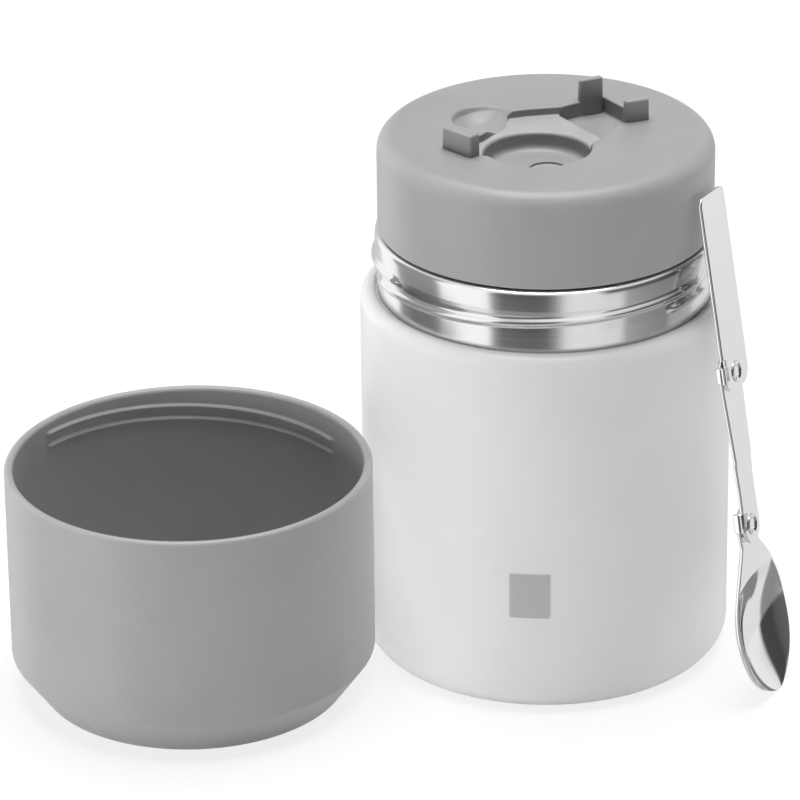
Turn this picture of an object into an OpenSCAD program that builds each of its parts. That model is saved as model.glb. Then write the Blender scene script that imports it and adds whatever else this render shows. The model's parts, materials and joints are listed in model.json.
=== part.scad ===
// Insulated food jar: a double-wall steel jar with a screw-in stopper lid, a
// screw-on serving cup and a folding three-piece spoon.
// The jar stands on z = 0 with its axis on Z. The cup stands on the floor beside
// it and the unfolded spoon leans on the lid. Lengths are millimetres.

/* [Body] */
// Outer radius of the body
body_r = 52.5; // [46:0.5:60]
// Height of the painted body, floor to shoulder
body_h = 110.4; // [90:0.2:150]
// Radius of the rounded foot
foot_round = 8; // [4:0.5:10]
// Radius of the rounded shoulder
shoulder_round = 4; // [2:0.5:5]
// Thickness of the painted outer shell
shell_t = 0.6; // [0.5:0.1:1]
// Width of the flat ring that the jar stands on
foot_ring_w = 3.5; // [2:0.5:6]
// Thickness of the base plate
base_t = 0.8; // [0.6:0.1:1.2]
// Height of the base plate's raised middle
base_rise = 3; // [2.4:0.1:3.6]
// Radius of the getter pill
getter_r = 6; // [4:0.5:10]
// Radius of the vacuum seal
seal_r = 5; // [3:0.5:8]

/* [Neck] */
// How far the neck stands in from the body
shoulder_w = 4.8; // [4.2:0.1:8]
// Gap between the neck and the painted shell
neck_gap = 0.5; // [0.3:0.1:0.8]
// Height of the bare neck band
neck_h = 17.9; // [15:0.1:22]
// Wall of the neck
neck_t = 0.7; // [0.5:0.1:1]
// How far the band swells above its thread
neck_swell = 0.5; // [0.2:0.1:0.8]
// How far the mouth stands in from the neck band
mouth_step = 4.2; // [3.5:0.1:6]
// Height of the threaded mouth above the band
mouth_h = 12.7; // [12:0.1:18]
// Height of the cup thread's ridges
cup_thread_h = 1.2; // [0.8:0.1:1.5]
// Rise of every thread in one turn
thread_lead = 12; // [9:0.5:13.5]
// Number of ridges in every thread
thread_starts = 3; // [2:1:3]

/* [Liner] */
// Vacuum gap between the two walls
vacuum_gap = 5.8; // [4:0.2:8]
// Wall of the liner
liner_t = 0.6; // [0.4:0.1:0.8]
// Height of the liner's underside above the floor
liner_lift = 6; // [5.6:0.2:12]
// Radius of the liner's rounded bottom corner
liner_round = 8; // [4:0.5:14]
// Gap between the liner's neck and the mouth
liner_gap = 0.3; // [0.2:0.1:0.6]

/* [Badge] */
// Width of the blank badge plate
badge_w = 11.3; // [8:0.1:20]
// Height of the blank badge plate
badge_h = 13.8; // [8:0.1:20]
// Height of the badge's middle above the floor
badge_z = 37.5; // [25:0.5:60]
// Angle of the badge from the front
badge_turn = -6.6; // [-20:0.2:20]
// Thickness of the badge plate
badge_t = 0.25; // [0.2:0.05:0.5]

/* [Lid] */
// Height of the lid
lid_h = 27.8; // [26:0.2:34]
// Wall of the lid's skirt
lid_t = 2.25; // [1.8:0.05:3]
// Thickness of the lid's top
lid_top_t = 2.2; // [1.8:0.1:3]
// Radius of the lid's rounded top edge
lid_round = 5; // [3:0.5:6]
// Gap between the lid's edge and the neck
lid_gap = 0.5; // [0.4:0.1:2]
// Height of the lid thread's ridges
lid_thread_h = 1.25; // [1:0.05:1.4]
// Clearance between the crests and roots of the lid thread
thread_clear = 0.35; // [0.3:0.05:0.6]
// Height of the gasket
gasket_h = 2; // [1.5:0.1:3]
// Depth of the stopper below the lip
plug_depth = 20; // [14:0.5:26]
// Wall of the stopper
plug_t = 1.8; // [1.4:0.1:2.4]
// Gap between the stopper and the liner's neck
plug_gap = 0.9; // [0.5:0.1:2]
// Radius of the plug that closes the foam hole
fill_r = 5.5; // [4:0.5:9]

/* [Spoon rest] */
// Direction of the spoon rest from the lid's middle
rest_turn = 33; // [0:1:60]
// Radius of the round well for the bowl
well_r = 15; // [13:0.1:17]
// Depth of the round well
well_depth = 7.2; // [6:0.1:8]
// Depth of the upper land beside the well
land_depth = 2.2; // [1.5:0.1:3]
// Depth of the lower land between the clips
slot_depth = 4.5; // [3.5:0.1:5]
// Radius of the finger scoop
scoop_r = 9.5; // [7:0.5:10]
// Depth of the finger scoop
scoop_depth = 3.4; // [2:0.1:4]
// Height of the three clips above the lid
clip_h = 6.5; // [4:0.5:8]
// Floor under the recesses
rest_t = 2; // [1.5:0.1:2.4]

/* [Cup] */
// Height of the cup
cup_h = 68.6; // [60:0.2:90]
// Wall of the cup
cup_t = 2.5; // [2:0.1:3.5]
// Clearance of the cup over the neck's thread
cup_clear = 0.5; // [0.4:0.1:1]
// Height of the ridges inside the cup
cup_ridge_h = 0.8; // [0.5:0.1:0.9]
// Depth of the upper ridge below the rim
cup_ridge_drop = 5.8; // [4.5:0.1:8]
// Distance between the cup's two ridges
cup_ridge_gap = 4; // [3.5:0.1:5]
// How far the cup's foot stands in
cup_foot_in = 8.2; // [4:0.1:12]
// Height of the cup's sloped foot
cup_foot_h = 11.75; // [6:0.25:16]
// Direction of the cup from the jar
cup_turn = 195; // [150:1:240]
// Gap between the cup and the jar
cup_gap = 0.5; // [0.5:0.5:40]

/* [Spoon] */
// Thickness of the spoon's three plates
spoon_t = 1; // [0.8:0.1:1.2]
// Length of the bowl, rivet to tip
bowl_len = 51.8; // [46:0.1:54]
// Greatest width of the bowl
bowl_w = 33.6; // [28:0.2:38]
// Depth of the bowl
bowl_depth = 4.8; // [3.5:0.1:5]
// Width of the bowl's tang
tang_w = 10.2; // [8.6:0.1:10.6]
// How far the bowl is swung out of line with the arm
bowl_turn = 7; // [0:0.5:10]
// Length of the arm, rivet to rivet
arm_len = 45; // [42:0.5:56]
// Width of the arm at the grip
arm_w = 14; // [12:0.1:14.2]
// Width of the arm's waist
waist_w = 10.2; // [9:0.1:11]
// Length of the grip above its rivet
grip_len = 51.9; // [40:0.1:56]
// Width of the grip
grip_w = 16.6; // [16.4:0.1:18]
// Radius of the rivet shanks
rivet_r = 1.6; // [1.2:0.1:1.8]
// Radius of the rivet heads
rivet_head_r = 3; // [2.6:0.1:3.4]
// Height of the rivet heads
rivet_head_h = 0.35; // [0.2:0.05:0.4]
// Running clearance of the rivets, and play between the plates
rivet_play = 0.05; // [0.02:0.01:0.08]
// Gap between bowl and arm, filled by a washer
bowl_washer_t = 0.9; // [0.9:0.05:1.2]
// Gap between arm and grip, filled by a washer
grip_washer_t = 0.7; // [0.6:0.05:1]
// Lean of the spoon towards the lid
spoon_lean = 11.35; // [9:0.05:16]
// Tilt of the spoon along the lid
spoon_tilt = 5.3; // [0:0.1:8]
// Direction that the spoon faces
spoon_turn = -25; // [-60:1:20]
// Gap between the spoon and the lid
spoon_gap = 1.3; // [0.3:0.1:2]

/* [Hidden] */
$fn = 96;
eps = 0.01;

// Body and neck
neck_r = body_r - shoulder_w;
foot_r = body_r - foot_round;
base_open_r = foot_r - foot_ring_w;
base_lap = 3;
collar_flange = 2.3;
collar_foot_z = body_h - shell_t;
step_z = body_h + neck_h;
mouth_r = neck_r - mouth_step;
lip_z = step_z + mouth_h;
neck_round = 1.8;
swell_low = 8.6;
swell_high = 16.9;
cup_thread_turn = -155;
cup_thread_sweep = 117;
cup_thread_z = body_h + 6.8;
ridge_base = 2.6;
ridge_crest = 1.1;

// Liner
liner_r = body_r - shell_t - vacuum_gap;
throat_r = mouth_r - neck_t - liner_gap;
liner_slope_h = 8;

// Lid
lid_bore_r = mouth_r + lid_thread_h + thread_clear;
lid_r = lid_bore_r + lid_t;
lid_z = step_z + lid_gap;
lid_top = lid_z + lid_h;
lid_edge_round = 0.8;
flange_z = lip_z + gasket_h;
flange_t = 1.5;
seat_z = flange_z + flange_t;
seat_w = 1.1;
plug_r = throat_r - liner_t - plug_gap;
plug_z = lip_z - plug_depth;
plug_chamfer = 3;
plug_fit = 0.05;
gasket_gap = 0.3;
lid_thread_sweep = 150;
lid_thread_turn = -60;
lid_ridge_base = 1.7;
lid_ridge_crest = 0.8;
mouth_thread_z = step_z + 4;
thread_pitch = thread_lead / thread_starts;

// Spoon rest, in a frame turned to the rest's own direction
well_at = [-7.9, -7.5];
fill_at = [-5.5, -9];
well_round = 2.5;
scoop_at = [-8.6, 17.3];
scoop_ball = (pow(scoop_r, 2) + pow(scoop_depth, 2)) / (2 * scoop_depth);
land_edge = [[-24.5, -5], [-24.5, 6.4], [-16, 8], [-9, 11.3], [-4.5, 14.5], [-0.6, 18], [5, 16.4], [10, 14.2],
             [14, 12.4], [14, -9.9], [8.7, -13.2], [4.8, -14.1], [-4, -12]];
slot_edge = [[13, 12.4], [28, 12.2], [28, -6.6], [21.5, -7.3], [18.5, -8.1], [13, -10.8]];
land_pad = [[-27, -17], [17, 20]];
slot_pad = [[10.5, -13.5], [30.2, 15]];
left_clip = [[-27.8, 1], [3.9, 11.4], 12];
rear_clip = [[24.1, 12.6], [7.4, 2.2], -10];
right_clip = [[25.4, -7.8], [7.4, 2.4], -13];
fill_lip = 0.5;
fill_gap = 0.1;
fill_t = 1;
fill_stem_r = 2;

// Cup
cup_bore_r = neck_r + cup_thread_h + cup_clear;
cup_r = cup_bore_r + cup_t;
cup_foot_r = cup_r - cup_foot_in;
cup_ridge_sweep = 104;
cup_ridge_turn = 38;

// Spoon: x is the face's normal, y the width and z the length, from the bowl's rivet
arm_x = bowl_washer_t;
grip_x = arm_x + spoon_t + grip_washer_t;
spoon_top = arm_len + grip_len;
flare_len = 24.5;
tang_end = 5.4;
widest_at = flare_len + tang_end;
rim_dip = 0.6;
rim_tip = 0.7;
rim_low_at = 22.4;
hollow_at = tang_end + 3.6;
ear_t = 1;
ear_gap = 0.3;
grip_ear = [-1.5, 3.2];
arm_ear = [-1, 4.7];
ear_slot = 2;
ear_reach = 0.1;
grip_end_r = 4.6;
grip_corner_r = 2.5;
bowl_rings = 30;
bowl_steps = 12;
bowl_rivet_z = -min([for (ring = bowl_skin()) for (p = ring) spoon_height(turned(p))]);
spoon_top_z = bowl_rivet_z + spoon_top * cos(spoon_lean) * cos(spoon_tilt);
spoon_reach = max(reach_past(lid_r, min(lid_top, spoon_top_z)), reach_past(body_r, min(body_h, spoon_top_z)));
spoon_side = 0.6 - spoon_top * sin(spoon_tilt);

// Distance of the grip's back from the jar's axis, at the bowl rivet's height, that clears a circle
function reach_past(r, z) = r + spoon_gap + (z - bowl_rivet_z) * tan(spoon_lean);

// Height above the spoon's reference of a point in the spoon's frame
function spoon_height(p) = p.x * sin(spoon_lean) - p.y * cos(spoon_lean) * sin(spoon_tilt)
    + p.z * cos(spoon_lean) * cos(spoon_tilt);

// A point of the bowl, turned in the spoon's plane
function turned(p) = [p.x, p.y * cos(bowl_turn) - p.z * sin(bowl_turn),
                      p.y * sin(bowl_turn) + p.z * cos(bowl_turn)];

// Points along an arc in a profile
function arc(cx, cz, r, from, to, n = 8) =
    [for (i = [0:n]) let (a = from + (to - from) * i / n) [cx + r * cos(a), cz + r * sin(a)]];

// Triangles between rings of m points, with both ends closed
function ring_faces(n, m) = concat(
    [for (i = [0:n - 2]) for (j = [0:m - 1]) [i * m + j, i * m + (j + 1) % m, (i + 1) * m + (j + 1) % m]],
    [for (i = [0:n - 2]) for (j = [0:m - 1]) [i * m + j, (i + 1) * m + (j + 1) % m, (i + 1) * m + j]],
    [[for (j = [m - 1:-1:0]) j]],
    [[for (j = [0:m - 1]) (n - 1) * m + j]]);

module skin(rings) {
    polyhedron(points = [for (ring = rings) for (p = ring) p], faces = ring_faces(len(rings), len(rings[0])));
}

// One helical ridge from radius root to radius crest, fading out at both ends
module ridge(root, crest, z, start, sweep, base, top) {
    steps = ceil(sweep / 6);
    side = sign(crest - root);
    skin([for (i = [0:steps])
        let (a = start + sweep * i / steps,
             h = z + thread_lead * (sweep * i / steps) / 360,
             fade = min(1, 0.15 + min(i, steps - i) / 2),
             tip = root + (crest - root) * fade,
             half_base = base / 2,
             half_top = top / 2 * fade,
             low = side > 0 ? 1 : -1)
        [for (q = [[root - side * 0.4, -low * half_base], [tip, -low * half_top],
                   [tip, low * half_top], [root - side * 0.4, low * half_base]])
            [q[0] * cos(a), q[0] * sin(a), h + q[1]]]]);
}

// A round slab's half profile, with its lower and upper edges rounded
module round_profile(r, h, low, high) {
    square([r - max(low, high), h]);
    square([r - low, low + eps]);
    translate([0, h - high - eps]) square([r - high, high + eps]);
    translate([0, low]) square([r, h - low - high]);
    translate([r - low, low]) circle(low);
    translate([r - high, h - high]) circle(high);
}

// ---- Jar ----

module outer_shell() {
    color("whitesmoke") rotate_extrude() difference() {
        round_profile(body_r, body_h, foot_round, shoulder_round);
        translate([0, shell_t])
            round_profile(body_r - shell_t, body_h - 2 * shell_t, foot_round - shell_t, shoulder_round - shell_t);
        translate([-eps, -eps]) square([base_open_r + eps, foot_round]);
        translate([-eps, body_h - shoulder_round]) square([neck_r + neck_gap + eps, 2 * shoulder_round]);
    }
}

module neck_collar() {
    low_z = body_h + swell_low;
    high_z = body_h + swell_high;
    outer = concat(
        [[neck_r + collar_flange, collar_foot_z - neck_t],
         [min(neck_r + collar_flange, body_r - shoulder_round), collar_foot_z], [neck_r, collar_foot_z]],
        [for (i = [0:8]) [neck_r + neck_swell * sin(180 * i / 8), low_z + (high_z - low_z) * i / 8]],
        arc(neck_r - neck_round, step_z - neck_round, neck_round, 30, 90, 4),
        [[mouth_r, step_z], [mouth_r, lip_z - liner_t]]);
    inner = [[mouth_r - neck_t, lip_z - liner_t], [mouth_r - neck_t, step_z - neck_t],
             [neck_r - neck_round, step_z - neck_t], [neck_r - neck_t, step_z - neck_round],
             [neck_r - neck_t, collar_foot_z - neck_t]];
    color("silver") {
        rotate_extrude() polygon(concat(outer, inner));
        for (k = [0:thread_starts - 1]) {
            ridge(neck_r, neck_r + cup_thread_h, cup_thread_z, cup_thread_turn + k * 360 / thread_starts,
                  cup_thread_sweep, ridge_base, ridge_crest);
            ridge(mouth_r, mouth_r + lid_thread_h, mouth_thread_z, lid_thread_turn + k * 360 / thread_starts,
                  lid_thread_sweep, lid_ridge_base, lid_ridge_crest);
        }
    }
}

// Half profile of the liner's outside, or of its inside when it is moved in by the wall
function liner_edge(t) = concat(
    [[0, liner_lift + t]],
    arc(liner_r - liner_round, liner_lift + liner_round, liner_round - t, -90, 0),
    [[liner_r - t, body_h - liner_slope_h], [throat_r - t, body_h]]);

module inner_liner() {
    color("lightgray") rotate_extrude() difference() {
        polygon(concat(liner_edge(0), [[throat_r, lip_z - liner_t], [mouth_r, lip_z - liner_t], [mouth_r, lip_z],
                                       [0, lip_z]]));
        polygon(concat(liner_edge(liner_t), [[throat_r - liner_t, lip_z + 1], [0, lip_z + 1]]));
    }
}

module base_plate() {
    rise_r = base_open_r - base_lap;
    flat_r = rise_r - 2 * base_rise;
    color("silver") rotate_extrude() polygon([
        [0, base_rise], [flat_r, base_rise], [rise_r, shell_t], [base_open_r + base_lap, shell_t],
        [base_open_r + base_lap, shell_t + base_t], [rise_r, shell_t + base_t], [flat_r, base_rise + base_t],
        [0, base_rise + base_t]]);
}

module vacuum_seal() {
    color("dimgray") translate([0, 0, base_rise - 0.8]) cylinder(r = seal_r, h = 0.8);
}

module getter_pill() {
    color("gray") translate([0, 0, base_rise + base_t]) cylinder(r = getter_r, h = 1.2);
}

module badge_plate() {
    color("silver") intersection() {
        translate([0, 0, badge_z - badge_h / 2]) difference() {
            cylinder(r = body_r + badge_t, h = badge_h);
            translate([0, 0, -1]) cylinder(r = body_r, h = badge_h + 2);
        }
        rotate([0, 0, badge_turn]) translate([-badge_w / 2, -body_r - 2, 0]) cube([badge_w, body_r, 2 * body_h]);
    }
}

// ---- Lid ----

// Places its children in the spoon rest's frame, with z = 0 on the lid's top
module on_rest() {
    translate([0, 0, lid_top]) rotate([0, 0, rest_turn]) children();
}

module pad(box, depth) {
    translate([box[0][0], box[0][1], -depth])
        cube([box[1][0] - box[0][0], box[1][1] - box[0][1], depth - lid_top_t / 2]);
}

module clip(spec, depth) {
    translate([spec[0][0], spec[0][1], -depth]) rotate([0, 0, spec[2]])
        translate([-spec[1][0] / 2, -spec[1][1] / 2, 0]) cube([spec[1][0], spec[1][1], depth + clip_h]);
}

module rest_cuts() {
    translate([0, 0, -land_depth]) linear_extrude(land_depth + 1) polygon(land_edge);
    translate([0, 0, -slot_depth]) linear_extrude(slot_depth + 1) polygon(slot_edge);
    translate([well_at[0], well_at[1], -well_depth]) rotate_extrude()
        round_profile(well_r, well_depth + 1, well_round, 0.5);
    translate([scoop_at[0], scoop_at[1], scoop_ball - scoop_depth]) sphere(scoop_ball);
    translate([fill_at[0], fill_at[1], -well_depth - fill_t]) cylinder(r = fill_r, h = fill_t + 1);
    translate([fill_at[0], fill_at[1], -well_depth - 5]) cylinder(r = fill_stem_r, h = 6);
}

module lid_cover() {
    color("darkgray") {
        difference() {
            union() {
                difference() {
                    translate([0, 0, lid_z]) rotate_extrude()
                        round_profile(lid_r, lid_h, lid_edge_round, lid_round);
                    translate([0, 0, lid_z - 1]) cylinder(r = lid_bore_r, h = seat_z - lid_z + 1);
                    translate([0, 0, seat_z - 1]) cylinder(r = lid_bore_r - seat_w, h = lid_top - lid_top_t - seat_z + 1);
                }
                on_rest() {
                    pad(land_pad, land_depth + rest_t);
                    pad(slot_pad, slot_depth + rest_t);
                    translate([well_at[0], well_at[1], -well_depth - rest_t])
                        cylinder(r = well_r + rest_t, h = well_depth + rest_t - lid_top_t / 2);
                    translate([scoop_at[0], scoop_at[1], -scoop_depth - rest_t])
                        cylinder(r = scoop_r + rest_t / 2, h = scoop_depth + rest_t - lid_top_t / 2);
                }
            }
            on_rest() rest_cuts();
        }
        on_rest() {
            clip(left_clip, land_depth);
            clip(rear_clip, slot_depth + rest_t / 2);
            clip(right_clip, slot_depth + rest_t / 2);
        }
        for (k = [0:thread_starts - 1])
            ridge(lid_bore_r, lid_bore_r - lid_thread_h, mouth_thread_z - thread_pitch / 2,
                  lid_thread_turn + k * 360 / thread_starts, lid_thread_sweep, lid_ridge_base, lid_ridge_crest);
    }
}

module lid_plug() {
    floor_z = plug_z + plug_t;
    in_r = plug_r - plug_t;
    color("gainsboro") rotate_extrude() polygon([
        [0, plug_z], [plug_r - plug_chamfer, plug_z], [plug_r, plug_z + plug_chamfer], [plug_r, flange_z],
        [lid_bore_r - plug_fit, flange_z], [lid_bore_r - plug_fit, seat_z], [in_r, seat_z], [in_r, floor_z + plug_chamfer - plug_t / 2],
        [in_r - plug_chamfer + plug_t / 2, floor_z], [0, floor_z]]);
}

module lid_foam() {
    floor_z = plug_z + plug_t;
    in_r = plug_r - plug_t;
    color("beige") rotate_extrude() polygon([
        [0, floor_z], [in_r - plug_chamfer + plug_t / 2, floor_z], [in_r, floor_z + plug_chamfer - plug_t / 2],
        [in_r, seat_z], [0, seat_z]]);
}

module lid_gasket() {
    color("lightgray") translate([0, 0, lip_z]) difference() {
        cylinder(r = mouth_r, h = gasket_h);
        translate([0, 0, -1]) cylinder(r = plug_r + gasket_gap, h = gasket_h + 2);
    }
}

module fill_plug() {
    color("gray") on_rest() translate([fill_at[0], fill_at[1], -well_depth - fill_t]) {
        cylinder(r = fill_r - fill_gap, h = fill_t - fill_lip);
        translate([0, 0, -rest_t + fill_t]) cylinder(r = fill_stem_r - fill_gap, h = rest_t - fill_t + eps);
    }
}

// ---- Cup ----

module cup_shell() {
    far = body_r + cup_r + cup_gap;
    color("darkgray") translate([far * cos(cup_turn), far * sin(cup_turn), 0]) {
        rotate_extrude() {
            polygon([[0, 0], [cup_foot_r - 1, 0], [cup_foot_r, 0.6], [cup_r - 0.6, cup_foot_h - 0.8],
                     [cup_r, cup_foot_h + 0.4], [cup_r, cup_h - cup_t / 2], [cup_bore_r, cup_h - cup_t / 2],
                     [cup_bore_r, cup_foot_h + 1.6], [cup_foot_r - 1, cup_t], [0, cup_t]]);
            translate([cup_r - cup_t / 2, cup_h - cup_t / 2]) circle(cup_t / 2);
        }
        for (k = [0:thread_starts - 1]) for (row = [0:1])
            ridge(cup_bore_r, cup_bore_r - cup_ridge_h,
                  cup_h - cup_ridge_drop - row * cup_ridge_gap - thread_lead * cup_ridge_sweep / 720,
                  cup_ridge_turn + k * 360 / thread_starts, cup_ridge_sweep, 1.6, 0.6);
    }
}

// ---- Spoon ----

// Places its children in the leaning spoon's frame
module on_spoon() {
    rotate([0, 0, spoon_turn]) translate([spoon_reach - grip_x * cos(spoon_lean), spoon_side, bowl_rivet_z])
        rotate([-spoon_tilt, -spoon_lean, 0]) children();
}

// A plate of the spoon: its outline has y across and z along the spoon
module plate(x, t = spoon_t) {
    translate([x, 0, 0]) rotate([90, 0, 90]) linear_extrude(t) children();
}

module cross_pin(x, r, h) {
    translate([x, 0, 0]) rotate([0, 90, 0]) cylinder(r = r, h = h);
}

// Half width of the bowl at a distance below its rivet
function bowl_half(d) =
    d < 0 ? sqrt(max(0.4, pow(tang_w / 2, 2) - d * d)) :
    d < tang_end ? tang_w / 2 :
    d < widest_at ? let (t = (widest_at - d) / flare_len)
        tang_w / 2 + (bowl_w - tang_w) / 2 * (1 - t * t) * (1 - 0.25 * pow(t, 4)) :
    let (t = min(0.997, (d - widest_at) / (bowl_len - widest_at)))
        bowl_w / 2 * pow(1 - pow(t, 2.7), 0.68);

// Height of the rim over the tang's face
function bowl_rim(d) =
    d < tang_end ? 0 :
    d < rim_low_at ? -rim_dip * (1 - pow((rim_low_at - d) / (rim_low_at - tang_end), 2)) :
    -rim_dip + (rim_dip + rim_tip) * (d - rim_low_at) / (bowl_len - rim_low_at);

// Depth of the hollow on the bowl's middle line
function bowl_hollow(d) =
    let (s = (d - hollow_at) / (bowl_len - hollow_at))
    s <= 0 || s >= 1 ? 0 : bowl_depth * pow(4 * s * (1 - s), 0.8);

// Distances below the rivet of the bowl's rings, closer together at both ends
function bowl_at(i) = let (a = 180 * i / bowl_rings)
    -tang_w / 2 * 0.985 + (bowl_len + tang_w / 2 * 0.985) * (1 - cos(a)) / 2;

function bowl_ring(d) =
    let (half = bowl_half(d), rim = bowl_rim(d), hollow = bowl_hollow(d),
         face = [for (k = [0:bowl_steps]) let (t = -1 + 2 * k / bowl_steps)
                    [rim - hollow * pow(1 - pow(abs(t), 3), 0.9), half * t]])
    concat([for (k = [0:bowl_steps]) [face[k][0], face[k][1], -d]],
           [for (k = [bowl_steps:-1:0]) [face[k][0] - spoon_t, face[k][1], -d]]);

function bowl_skin() = [for (i = [0:bowl_rings]) bowl_ring(bowl_at(i))];

module spoon_bowl() {
    color("silver") on_spoon() rotate([bowl_turn, 0, 0]) difference() {
        skin(bowl_skin());
        cross_pin(-spoon_t - 1, rivet_r + rivet_play, spoon_t + 2);
    }
}

module spoon_arm() {
    waist_at = arm_len * 0.25;
    wide_at = arm_len * 0.5;
    end_w = tang_w + 2 * ear_gap;
    color("silver") on_spoon() difference() {
        union() {
            plate(arm_x) {
                circle(end_w / 2);
                translate([0, arm_len]) circle(arm_w / 2);
                polygon([[-end_w / 2, 0], [-waist_w / 2, waist_at], [-waist_w / 2 - 0.7, wide_at], [-arm_w / 2, arm_len],
                         [arm_w / 2, arm_len], [waist_w / 2 + 0.7, wide_at], [waist_w / 2, waist_at], [end_w / 2, 0]]);
                translate([-end_w / 2 - ear_t, arm_ear[0]]) square([ear_t + 2, arm_ear[1] - arm_ear[0]]);
            }
            translate([ear_reach - spoon_t, -end_w / 2 - ear_t, arm_ear[0]])
                cube([arm_x + 2 * spoon_t - ear_reach, ear_t, arm_ear[1] - arm_ear[0]]);
        }
        cross_pin(arm_x - 1, rivet_r, spoon_t + 2);
        translate([0, 0, arm_len]) cross_pin(arm_x - 1, rivet_r, spoon_t + 2);
    }
}

module spoon_grip() {
    half = grip_w / 2;
    ear_in = arm_w / 2 + ear_gap;
    color("silver") on_spoon() translate([0, 0, arm_len]) difference() {
        union() {
            plate(grip_x) difference() {
                union() {
                    translate([-half, 0]) square([grip_w, grip_len - grip_corner_r]);
                    translate([grip_end_r - half, -grip_end_r]) square([grip_w - 2 * grip_end_r, 2 * grip_end_r]);
                    translate([grip_corner_r - half, 0]) square([grip_w - 2 * grip_corner_r, grip_len]);
                    for (s = [-1, 1]) {
                        translate([s * (half - grip_end_r), 0]) circle(grip_end_r);
                        translate([s * (half - grip_corner_r), grip_len - grip_corner_r]) circle(grip_corner_r);
                    }
                    translate([-half, grip_ear[0]]) square([half, 2]);
                }
                translate([-half - 1, grip_ear[1]]) square([ear_slot + 1, ear_slot]);
            }
            translate([arm_x + ear_reach, -ear_in - ear_t, grip_ear[0]])
                cube([grip_x + spoon_t - arm_x - ear_reach, ear_t, grip_ear[1] - grip_ear[0]]);
        }
        cross_pin(grip_x - 1, rivet_r + rivet_play, spoon_t + 2);
    }
}

// A rivet through two plates, from the back face at x to the front face at x + grip
module rivet(x, grip) {
    color("gainsboro") difference() {
        union() {
            cross_pin(x - rivet_head_h, rivet_r, grip + 2 * rivet_head_h);
            cross_pin(x - rivet_head_h, rivet_head_r, rivet_head_h - rivet_play);
            cross_pin(x + grip + rivet_play, rivet_head_r, rivet_head_h);
        }
        cross_pin(x + grip, rivet_r * 0.7, rivet_head_h + 1);
    }
}

module washer(x, gap) {
    color("gray") difference() {
        cross_pin(x + rivet_play, rivet_head_r + 0.8, gap - 2 * rivet_play);
        cross_pin(x - 1, rivet_r + rivet_play, gap + 2);
    }
}

module bowl_rivet() { on_spoon() rivet(-spoon_t, 2 * spoon_t + bowl_washer_t); }

module grip_rivet() { on_spoon() translate([0, 0, arm_len]) rivet(arm_x, 2 * spoon_t + grip_washer_t); }

module bowl_washer() { on_spoon() washer(0, bowl_washer_t); }

module grip_washer() { on_spoon() translate([0, 0, arm_len]) washer(arm_x + spoon_t, grip_washer_t); }

outer_shell();
neck_collar();
inner_liner();
base_plate();
vacuum_seal();
getter_pill();
badge_plate();
lid_cover();
lid_plug();
lid_foam();
lid_gasket();
fill_plug();
cup_shell();
spoon_bowl();
spoon_arm();
spoon_grip();
bowl_rivet();
grip_rivet();
bowl_washer();
grip_washer();
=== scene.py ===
import json
import math

import bmesh
import bpy
from mathutils import Matrix, Vector, geometry


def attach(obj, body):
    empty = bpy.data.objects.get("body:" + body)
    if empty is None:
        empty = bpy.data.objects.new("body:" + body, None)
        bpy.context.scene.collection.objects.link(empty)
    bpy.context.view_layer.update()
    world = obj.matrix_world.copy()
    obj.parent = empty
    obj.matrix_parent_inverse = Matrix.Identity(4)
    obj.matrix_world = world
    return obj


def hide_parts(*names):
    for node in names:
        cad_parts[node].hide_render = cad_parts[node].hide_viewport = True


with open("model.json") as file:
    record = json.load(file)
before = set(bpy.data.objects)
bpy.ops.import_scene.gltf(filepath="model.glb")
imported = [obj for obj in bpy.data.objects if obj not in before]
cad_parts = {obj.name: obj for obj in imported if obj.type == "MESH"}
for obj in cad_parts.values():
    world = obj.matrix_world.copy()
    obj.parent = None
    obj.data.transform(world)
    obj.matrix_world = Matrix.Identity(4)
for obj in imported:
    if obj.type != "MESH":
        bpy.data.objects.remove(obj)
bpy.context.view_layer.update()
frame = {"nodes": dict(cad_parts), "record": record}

scene = bpy.context.scene
mm = 0.001


# Nodes

def fill(tree, node, inputs):
    # a socket is linked, any other value is set
    for key, value in inputs.items():
        if isinstance(value, bpy.types.NodeSocket):
            tree.links.new(value, node.inputs[key])
        else:
            node.inputs[key].default_value = value


def addNode(tree, kind, inputs=None, **settings):
    node = tree.nodes.new(kind)
    for key, value in settings.items():
        setattr(node, key, value)
    fill(tree, node, inputs or {})
    return node


def newGroup(name, inputs, outputs):
    group = bpy.data.node_groups.new(name, "ShaderNodeTree")
    for label, kind, value in inputs:
        socket = group.interface.new_socket(label, in_out="INPUT", socket_type=kind)
        socket.default_value = value
    for label, kind in outputs:
        group.interface.new_socket(label, in_out="OUTPUT", socket_type=kind)
    return group, group.nodes.new("NodeGroupInput"), group.nodes.new("NodeGroupOutput")


def place(tree, group, **inputs):
    node = addNode(tree, "ShaderNodeGroup", node_tree=group)
    fill(tree, node, {key.capitalize(): value for key, value in inputs.items()})
    return node


def combine(tree, operation, first, second):
    return addNode(tree, "ShaderNodeMath", {0: first, 1: second}, operation=operation).outputs[0]


def rise(tree, value, low, high, bottom=0.0, top=1.0, **settings):
    # goes from bottom to top while the value goes from low to high
    ramp = addNode(tree, "ShaderNodeMapRange", {"Value": value, "From Min": low, "From Max": high,
                                                "To Min": bottom, "To Max": top}, **settings)
    return ramp.outputs[0]


def objectPoint(tree, scale=None):
    where = addNode(tree, "ShaderNodeTexCoord").outputs["Object"]
    if scale is None:
        return where
    return addNode(tree, "ShaderNodeVectorMath", {0: where, "Scale": scale}, operation="SCALE").outputs[0]


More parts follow.
